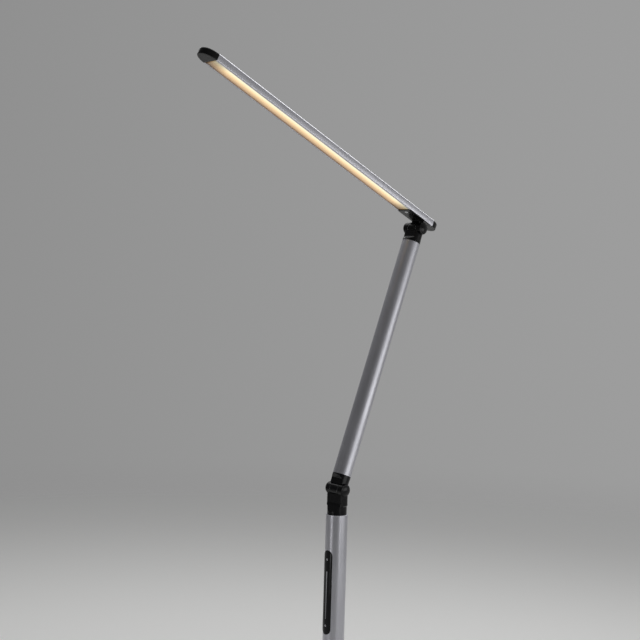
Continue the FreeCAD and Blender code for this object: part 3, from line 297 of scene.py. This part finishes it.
# ---- Hinge fittings ----
# Zinc castings at both ends of the arm, on the post and under the head, tumbled and coated
# semi-gloss black: the coat keeps a faint orange-peel.

cast_black = finish("cast_black", (0.0045, 0.0045, 0.005), 0.20, grain=(520, 520, 520),
                    depth=0.00003, mottle=0.15, rough_spread=0.04, smudge=0.08, specular=0.20)
for fitting in ("elbow_fork", "arm_lower_fitting", "head_fork", "neck_mount"):
    coat_node(fitting, cast_black)

# ---- Hinge caps ----
# Low domes of polished black plastic that snap in over the bolt's head and the nut, each with a
# fine groove inside its rounded rim.

CAP_RADIUS = 0.0087
CAP_RIM = 0.0009
CAP_HEIGHT = 0.00295
CAP_EDGE = 0.0003
GROOVE_RADIUS = 0.0072
GROOVE_WIDTH = 0.00035
GROOVE_DEPTH = 0.00018
CAP_SKIRT_RADIUS = 0.0061
CAP_SKIRT = 0.0010
CAP_SKIRT_WALL = 0.0007
CAP_SIDES = 72
CROWN_STEPS = 44

elbow = Vector(frame["joints"][0]["pos_m"])
head_hinge = Vector(frame["joints"][1]["pos_m"])


def lathe(profile, sides):
    """Carries a profile of (radius, height) round Y: (radius cos, height, radius sin)."""
    angle = np.linspace(0, 2 * np.pi, sides, endpoint=False)
    radius = profile[:, :1]
    height = np.repeat(profile[:, 1:], sides, axis=1)
    return np.stack([radius * np.cos(angle), height, radius * np.sin(angle)], axis=2)


def cap_profile():
    """The dome is a sphere's crown out to its rounded edge, less a bell-shaped groove, on a rim."""
    rise = CAP_HEIGHT - CAP_RIM
    sphere = (CAP_RADIUS ** 2 + rise ** 2) / (2 * rise)
    radius = np.linspace(0, CAP_RADIUS - CAP_EDGE, CROWN_STEPS)
    groove = GROOVE_DEPTH * np.exp(-((radius - GROOVE_RADIUS) / GROOVE_WIDTH) ** 2)
    crown = CAP_HEIGHT - sphere + np.sqrt(sphere ** 2 - radius ** 2) - groove
    turn = np.linspace(0, np.pi / 2, 7)[1:]
    edge_radius = CAP_RADIUS - CAP_EDGE + CAP_EDGE * np.sin(turn)
    edge_height = crown[-1] - CAP_EDGE + CAP_EDGE * np.cos(turn)
    inner = CAP_SKIRT_RADIUS - CAP_SKIRT_WALL
    under = np.array([(CAP_RADIUS, 0), (CAP_SKIRT_RADIUS, 0), (CAP_SKIRT_RADIUS, -CAP_SKIRT),
                      (inner, -CAP_SKIRT), (inner, 0), (0, 0)])
    top = np.column_stack([radius, crown])
    side = np.column_stack([edge_radius, edge_height])
    return np.vstack([top, side, under])


def joined(name, pieces):
    """One object from several, which are removed."""
    mesh = bpy.data.meshes.new(name)
    together = bmesh.new()
    for piece in pieces:
        together.from_mesh(piece.data)
        bpy.data.objects.remove(piece)
    together.to_mesh(mesh)
    together.free()
    whole = bpy.data.objects.new(name, mesh)
    scene.collection.objects.link(whole)
    return whole


def hinge_caps(name, node, body, centre):
    """A dome on each end of a hinge, its flat back on the knuckle's end face."""
    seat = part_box(node)[1].y - CAP_HEIGHT
    domes = []
    for side in (1, -1):
        grid = lathe(cap_profile(), CAP_SIDES)
        grid[:, :, 1] = (grid[:, :, 1] + seat) * side
        domes.append(skin(name, grid + np.array(centre), wrap_columns=True, crease=50))
    caps = joined(name, domes)
    caps.data.materials.append(polished_black)
    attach(caps, body)
    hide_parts(node)


polished_black = finish("polished_black", (0.005, 0.005, 0.0055), 0.18, grain=(300, 300, 300),
                        depth=0.00001, mottle=0.1, rough_spread=0.04, smudge=0.12, specular=0.22)
hinge_caps("elbow_domes", "elbow_caps", "stand", elbow)
hinge_caps("head_hinge_domes", "head_hinge_caps", "arm", head_hinge)

# ---- Bolts, nuts, screws and steel inserts ----
# Bright zinc on steel, lightly turned, and bushes of sintered bronze.

zinc = finish("zinc", (0.56, 0.57, 0.58), 0.28, metallic=1.0, grain=(900, 2600, 900),
              depth=0.00001, mottle=0.12, rough_spread=0.08)
bronze = finish("bronze", (0.55, 0.36, 0.17), 0.38, metallic=1.0, grain=(1800, 1800, 1800),
                depth=0.00001, mottle=0.12, rough_spread=0.08)
for fastener in ("elbow_bolt", "elbow_nut", "elbow_washers", "head_hinge_bolt", "head_hinge_nut",
                 "head_hinge_washers", "post_grub_screws", "arm_grub_screws", "neck_screws",
                 "touch_board_screws", "backing_plate", "post_coupler", "post_foot_plug",
                 "base_bolt", "base_washer"):
    coat_node(fastener, zinc)
coat_node("elbow_bush", bronze)
coat_node("head_bush", bronze)

# ---- Arm ----
# One straight drawn tube, satin anodised like the post, pushed over the spigots of its two fittings
# and held by a grub screw at each end.

arm_lean = atan2(elbow.x - head_hinge.x, head_hinge.z - elbow.z)
leaning_silver = finish("leaning_silver", SILVER, 0.42, metallic=1.0, grain=TUBE_GRAIN,
                        lean=-arm_lean, depth=0.000002, mottle=0.05, rough_spread=0.02)
coat_node("arm_tube", leaning_silver)

# ---- Head profile ----
# An extruded aluminium channel, open below between two lips, satin anodised. The die leaves fine
# lines along it.

HEAD_RISE = radians(25)
HEAD_WIDTH = 0.0303
HEAD_THICKNESS = 0.0105
HEAD_OVERHANG = 0.0179
HEAD_LENGTH = 0.4646
HEAD_DROP = 0.0135
PROFILE_WALL = 0.0016
PROFILE_EDGE_RADIUS = 0.0030
PROFILE_LOWER_RADIUS = 0.0006
LIP_WIDTH = 0.0036
LIP_THICKNESS = 0.0012
HEAD_TOP = HEAD_DROP + HEAD_THICKNESS
HEAD_FRONT = HEAD_LENGTH - HEAD_OVERHANG
CAVITY_HALF = HEAD_WIDTH / 2 - PROFILE_WALL
MOUTH_HALF = HEAD_WIDTH / 2 - LIP_WIDTH
LIP_TOP = HEAD_DROP + LIP_THICKNESS
CAVITY_TOP = HEAD_TOP - PROFILE_WALL
PROFILE_STEPS = 60


def leaning(grid, lean, origin):
    """Turns points drawn upright back by lean about Y and moves them to their hinge."""
    turn = np.array(Matrix.Rotation(-lean, 3, "Y"))
    return grid @ turn.T + np.array(origin)


def corner(centre_y, centre_z, radius, start, end, steps):
    """Arc of a section as (y, z), its angle in degrees from +Y towards +Z."""
    angle = np.radians(np.linspace(start, end, steps))
    return np.column_stack([centre_y + radius * np.cos(angle), centre_z + radius * np.sin(angle)])


def channel_section():
    """Closed outline of the channel: down one wall's outside, round the inside, up the other."""
    half = HEAD_WIDTH / 2
    big = PROFILE_EDGE_RADIUS
    small = PROFILE_LOWER_RADIUS
    right = [corner(half - big, HEAD_TOP - big, big, 90, 0, 12),
             corner(half - small, HEAD_DROP + small, small, 0, -90, 6),
             np.array([(MOUTH_HALF, HEAD_DROP), (MOUTH_HALF, LIP_TOP), (CAVITY_HALF, LIP_TOP),
                       (CAVITY_HALF, CAVITY_TOP)])]
    right = np.vstack(right)
    left = right[::-1] * np.array([-1, 1])
    return np.vstack([right, left])


def along_head(section, start, end, steps):
    """Carries a (y, z) section along the head from start to end, drawn from the head hinge."""
    x = np.linspace(start, end, steps)
    grid = np.zeros((steps, len(section), 3))
    grid[:, :, 0] = x[:, None]
    grid[:, :, 1:] = section[None, :, :]
    return leaning(grid, HEAD_RISE, head_hinge)


head_silver = finish("head_silver", SILVER, 0.28, metallic=1.0, grain=(9, 2600, 2600),
                     lean=-HEAD_RISE, mottle=0.03, rough_spread=0.01)
channel_grid = along_head(channel_section(), -HEAD_OVERHANG, HEAD_FRONT, PROFILE_STEPS)
channel = skin("head_channel", channel_grid, wrap_columns=True, fill_ends=True)
channel.data.materials.append(head_silver)
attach(channel, "head")
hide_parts("head_profile")

# ---- Head end caps ----
# Half-oval noses of polished black plastic, pushed into both ends of the channel and rounded like
# it, with a fine seam where they meet it.

TIP_LENGTH = 0.0205
REAR_LENGTH = 0.0182
NOSE_TOP_RADIUS = 0.0032
NOSE_LOWER_RADIUS = 0.0010
SEAM_DEPTH = 0.00012
SEAM_WIDTH = 0.0006
NOSE_STEPS = 81
FLAT_STEPS = 5


def nose_grid(end, length):
    """Rings from the middle of the underside over the edge to the middle of the top. On a ring, a
    point is (end + reach cos, width sin), where reach and width shrink by the ring's inset."""
    low = corner(0, 0, NOSE_LOWER_RADIUS, -90, 0, 8)
    high = corner(0, 0, NOSE_TOP_RADIUS, 0, 90, 16)
    inset = np.concatenate([NOSE_LOWER_RADIUS - low[:, 0], NOSE_TOP_RADIUS - high[:, 0]])
    level = np.concatenate([HEAD_DROP + NOSE_LOWER_RADIUS + low[:, 1],
                            HEAD_TOP - NOSE_TOP_RADIUS + high[:, 1]])
    shrink = np.linspace(0, 1, FLAT_STEPS, endpoint=False)
    angle = np.linspace(-np.pi / 2, np.pi / 2, NOSE_STEPS)
    reach = abs(length) - inset
    width = HEAD_WIDTH / 2 - inset
    reach = np.concatenate([reach[0] * shrink, reach, reach[-1] * shrink[::-1]])
    width = np.concatenate([width[0] * shrink, width, width[-1] * shrink[::-1]])
    level = np.concatenate([np.full(FLAT_STEPS, level[0]), level,
                            np.full(FLAT_STEPS, level[-1])])
    out = reach[:, None] * np.cos(angle)
    seam = SEAM_DEPTH * np.exp(-(out / SEAM_WIDTH) ** 2) * np.sign(width[:, None])
    across = (width[:, None] - seam) * np.sin(angle)
    grid = np.stack([end + np.sign(length) * out, across,
                     np.repeat(level[:, None], len(angle), axis=1)], axis=2)
    return leaning(grid, HEAD_RISE, head_hinge)


def end_cap(name, node, end, length):
    """A nose whose flat back, the loop of its first and last columns, is filled."""
    cap = skin(name, nose_grid(end, length), crease=60)
    solid = bmesh.new()
    solid.from_mesh(cap.data)
    bmesh.ops.holes_fill(solid, edges=[e for e in solid.edges if e.is_boundary])
    bmesh.ops.recalc_face_normals(solid, faces=solid.faces)
    solid.to_mesh(cap.data)
    solid.free()
    cap.data.materials.append(polished_black)
    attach(cap, "head")
    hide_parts(node)


end_cap("tip_nose", "tip_cap", HEAD_FRONT, TIP_LENGTH)
end_cap("rear_nose", "rear_cap", -HEAD_OVERHANG, -REAR_LENGTH)

# ---- Diffuser and light source ----
# A milky strip lies on the channel's lips, warm with the light of the row of diodes on the white
# board above it. Its glow is painted darker towards both lips, most at the -Y lip, as painted shade
# of the channel's recess.

DIFFUSER_START = 0.0355
DIFFUSER_END = HEAD_FRONT - 0.0034
DIFFUSER_THICKNESS = 0.0020
DIFFUSER_HALF = CAVITY_HALF - 0.0003
RIB_PITCH = 0.0009
RIB_DEPTH = 0.00002
STRIP_COLUMNS = 161
STRIP_STEPS = 24


def strip_section():
    """The strip's section: plain top and sides, and an underside of fine lengthwise ribs."""
    across = np.linspace(-DIFFUSER_HALF, DIFFUSER_HALF, STRIP_COLUMNS)
    ribs = LIP_TOP + RIB_DEPTH * (1 - np.cos(2 * np.pi * across / RIB_PITCH)) / 2
    ribs[0] = ribs[-1] = LIP_TOP
    under = np.column_stack([across, ribs])
    top = LIP_TOP + DIFFUSER_THICKNESS
    return np.vstack([under, [(DIFFUSER_HALF, top), (-DIFFUSER_HALF, top)]])


# Emission colours across the strip by place in Y: the dark brown at -Y and the dimmer colour at +Y
# are painted shade of the lips and recess, not the diffuser's own colour.
GLOW_AND_PAINTED_SHADE_ACROSS = ((-0.0118, (0.16, 0.085, 0.045)), (-0.0085, (0.38, 0.24, 0.13)),
               (-0.0020, (0.80, 0.53, 0.27)), (0.0035, (1.0, 0.80, 0.46)),
               (0.0085, (1.0, 0.97, 0.72)), (0.0118, (0.50, 0.38, 0.25)))
GLOW_END = 0.030
GLOW_AT_END = 0.34
HAZE_PER_METRE = 260.0
HAZE = 0.10
OPAL = (0.16, 0.13, 0.09)
OPAL_ROUGHNESS = 0.38


def opal_glow_and_painted_shade():
    """Milky plastic lit from behind. The glow follows the place across the strip, strongest to the
    right of its middle, and sinks towards both ends. Its fall to brown at the left (-Y) lip and its
    dimming at the right lip are painted shade of the channel's recess."""
    material = bpy.data.materials.new("lit_opal_painted_shade")
    material.use_nodes = True
    tree = material.node_tree
    shader = tree.nodes["Principled BSDF"]
    shader.inputs["Roughness"].default_value = OPAL_ROUGHNESS
    shader.inputs["Base Color"].default_value = (*OPAL, 1)
    shader.inputs["Emission Strength"].default_value = 1.0
    place = tree.nodes.new("ShaderNodeTexCoord")
    turn = tree.nodes.new("ShaderNodeMapping")
    turn.vector_type = "TEXTURE"
    turn.inputs["Location"].default_value = head_hinge
    turn.inputs["Rotation"].default_value = (0, -HEAD_RISE, 0)
    split = tree.nodes.new("ShaderNodeSeparateXYZ")
    tree.links.new(place.outputs["Object"], turn.inputs["Vector"])
    tree.links.new(turn.outputs["Vector"], split.inputs[0])
    across = spread(tree, split.outputs["Y"], (GLOW_AND_PAINTED_SHADE_ACROSS[0][0], GLOW_AND_PAINTED_SHADE_ACROSS[-1][0]), (0.0, 1.0))
    ramp = tree.nodes.new("ShaderNodeValToRGB")
    ramp.color_ramp.interpolation = "B_SPLINE"
    width = GLOW_AND_PAINTED_SHADE_ACROSS[-1][0] - GLOW_AND_PAINTED_SHADE_ACROSS[0][0]
    stops = ramp.color_ramp.elements
    for number, (y, colour) in enumerate(GLOW_AND_PAINTED_SHADE_ACROSS):
        stop = stops[number] if number < 2 else stops.new(1.0)
        stop.position = (y - GLOW_AND_PAINTED_SHADE_ACROSS[0][0]) / width
        stop.color = (*colour, 1)
    tree.links.new(across.outputs["Result"], ramp.inputs["Fac"])
    rising = spread(tree, split.outputs["X"], (DIFFUSER_START, DIFFUSER_START + GLOW_END),
                    (GLOW_AT_END, 1.0))
    falling = spread(tree, split.outputs["X"], (DIFFUSER_END, DIFFUSER_END - GLOW_END),
                     (GLOW_AT_END, 1.0))
    rising.interpolation_type = falling.interpolation_type = "SMOOTHSTEP"
    both = tree.nodes.new("ShaderNodeMath")
    both.operation = "MULTIPLY"
    haze = tree.nodes.new("ShaderNodeTexNoise")
    haze.inputs["Scale"].default_value = HAZE_PER_METRE
    milky = spread(tree, haze.outputs["Fac"], (0.0, 1.0), (1 - HAZE, 1 + HAZE))
    level = tree.nodes.new("ShaderNodeMath")
    level.operation = "MULTIPLY"
    glow = tree.nodes.new("ShaderNodeVectorMath")
    glow.operation = "SCALE"
    tree.links.new(rising.outputs["Result"], both.inputs[0])
    tree.links.new(falling.outputs["Result"], both.inputs[1])
    tree.links.new(turn.outputs["Vector"], haze.inputs["Vector"])
    tree.links.new(both.outputs["Value"], level.inputs[0])
    tree.links.new(milky.outputs["Result"], level.inputs[1])
    tree.links.new(ramp.outputs["Color"], glow.inputs[0])
    tree.links.new(level.outputs["Value"], glow.inputs["Scale"])
    tree.links.new(glow.outputs["Vector"], shader.inputs["Emission Color"])
    return material


strip_grid = along_head(strip_section(), DIFFUSER_START, DIFFUSER_END, STRIP_STEPS)
strip = skin("opal_strip", strip_grid, wrap_columns=True, fill_ends=True)
strip.data.materials.append(opal_glow_and_painted_shade())
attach(strip, "head")
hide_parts("diffuser")

WARM = (1.0, 0.80, 0.52)
CHIP_GLOW = 7.0
BOARD_PAINTED_GLOW = 2.2
CELLS_PER_METRE = 3000.0
PHOSPHOR_DEEP = (0.85, 0.62, 0.16)
PHOSPHOR_LIGHT = (0.95, 0.80, 0.35)
PHOSPHOR_ROUGHNESS = 0.4


def light_up(material, strength):
    """Gives a material the diodes' warm glow, and returns its shader. On the chips the glow is
    their own light; on the board it is a painted glow for the diodes' light falling on it.
    """
    shader = material.node_tree.nodes["Principled BSDF"]
    shader.inputs["Emission Color"].default_value = (*WARM, 1)
    shader.inputs["Emission Strength"].default_value = strength
    return shader


phosphor = bpy.data.materials.new("lit_phosphor")
phosphor.use_nodes = True
tree = phosphor.node_tree
shader = light_up(phosphor, CHIP_GLOW)
shader.inputs["Roughness"].default_value = PHOSPHOR_ROUGHNESS
place = tree.nodes.new("ShaderNodeTexCoord")
specks = tree.nodes.new("ShaderNodeTexNoise")
specks.inputs["Scale"].default_value = CELLS_PER_METRE
cells = tree.nodes.new("ShaderNodeMix")
cells.data_type = "RGBA"
cells.inputs[6].default_value = (*PHOSPHOR_DEEP, 1)
cells.inputs[7].default_value = (*PHOSPHOR_LIGHT, 1)
tree.links.new(place.outputs["Object"], specks.inputs["Vector"])
tree.links.new(specks.outputs["Fac"], cells.inputs["Factor"])
tree.links.new(cells.outputs[2], shader.inputs["Base Color"])
coat_node("led_chips", phosphor)

# The board is no lamp: its glow is painted light, standing in for the diodes' light falling on the
# white mask.
white_mask_painted_glow = finish("white_mask_painted_glow", (0.80, 0.79, 0.74), 0.45, grain=(700, 700, 700), depth=0.00001,
                    mottle=0.04)
light_up(white_mask_painted_glow, BOARD_PAINTED_GLOW)
coat_node("led_board", white_mask_painted_glow)

# ---- Boards and leads inside the post ----
# Green solder mask on the touch and dimmer boards, and smooth black sheaths on the leads and the
# ribbon between the boards.

green_mask = finish("green_mask", (0.015, 0.13, 0.05), 0.30, grain=(500, 500, 500), depth=0.00002,
                    mottle=0.2)
sheath = finish("sheath", (0.022, 0.022, 0.023), 0.45, grain=(700, 700, 60), depth=0.00002,
                mottle=0.15)
for board in ("touch_board", "dimmer_board"):
    coat_node(board, green_mask)
for lead in ("base_lead", "post_lead", "arm_lead", "head_lead", "touch_ribbon"):
    coat_node(lead, sheath)
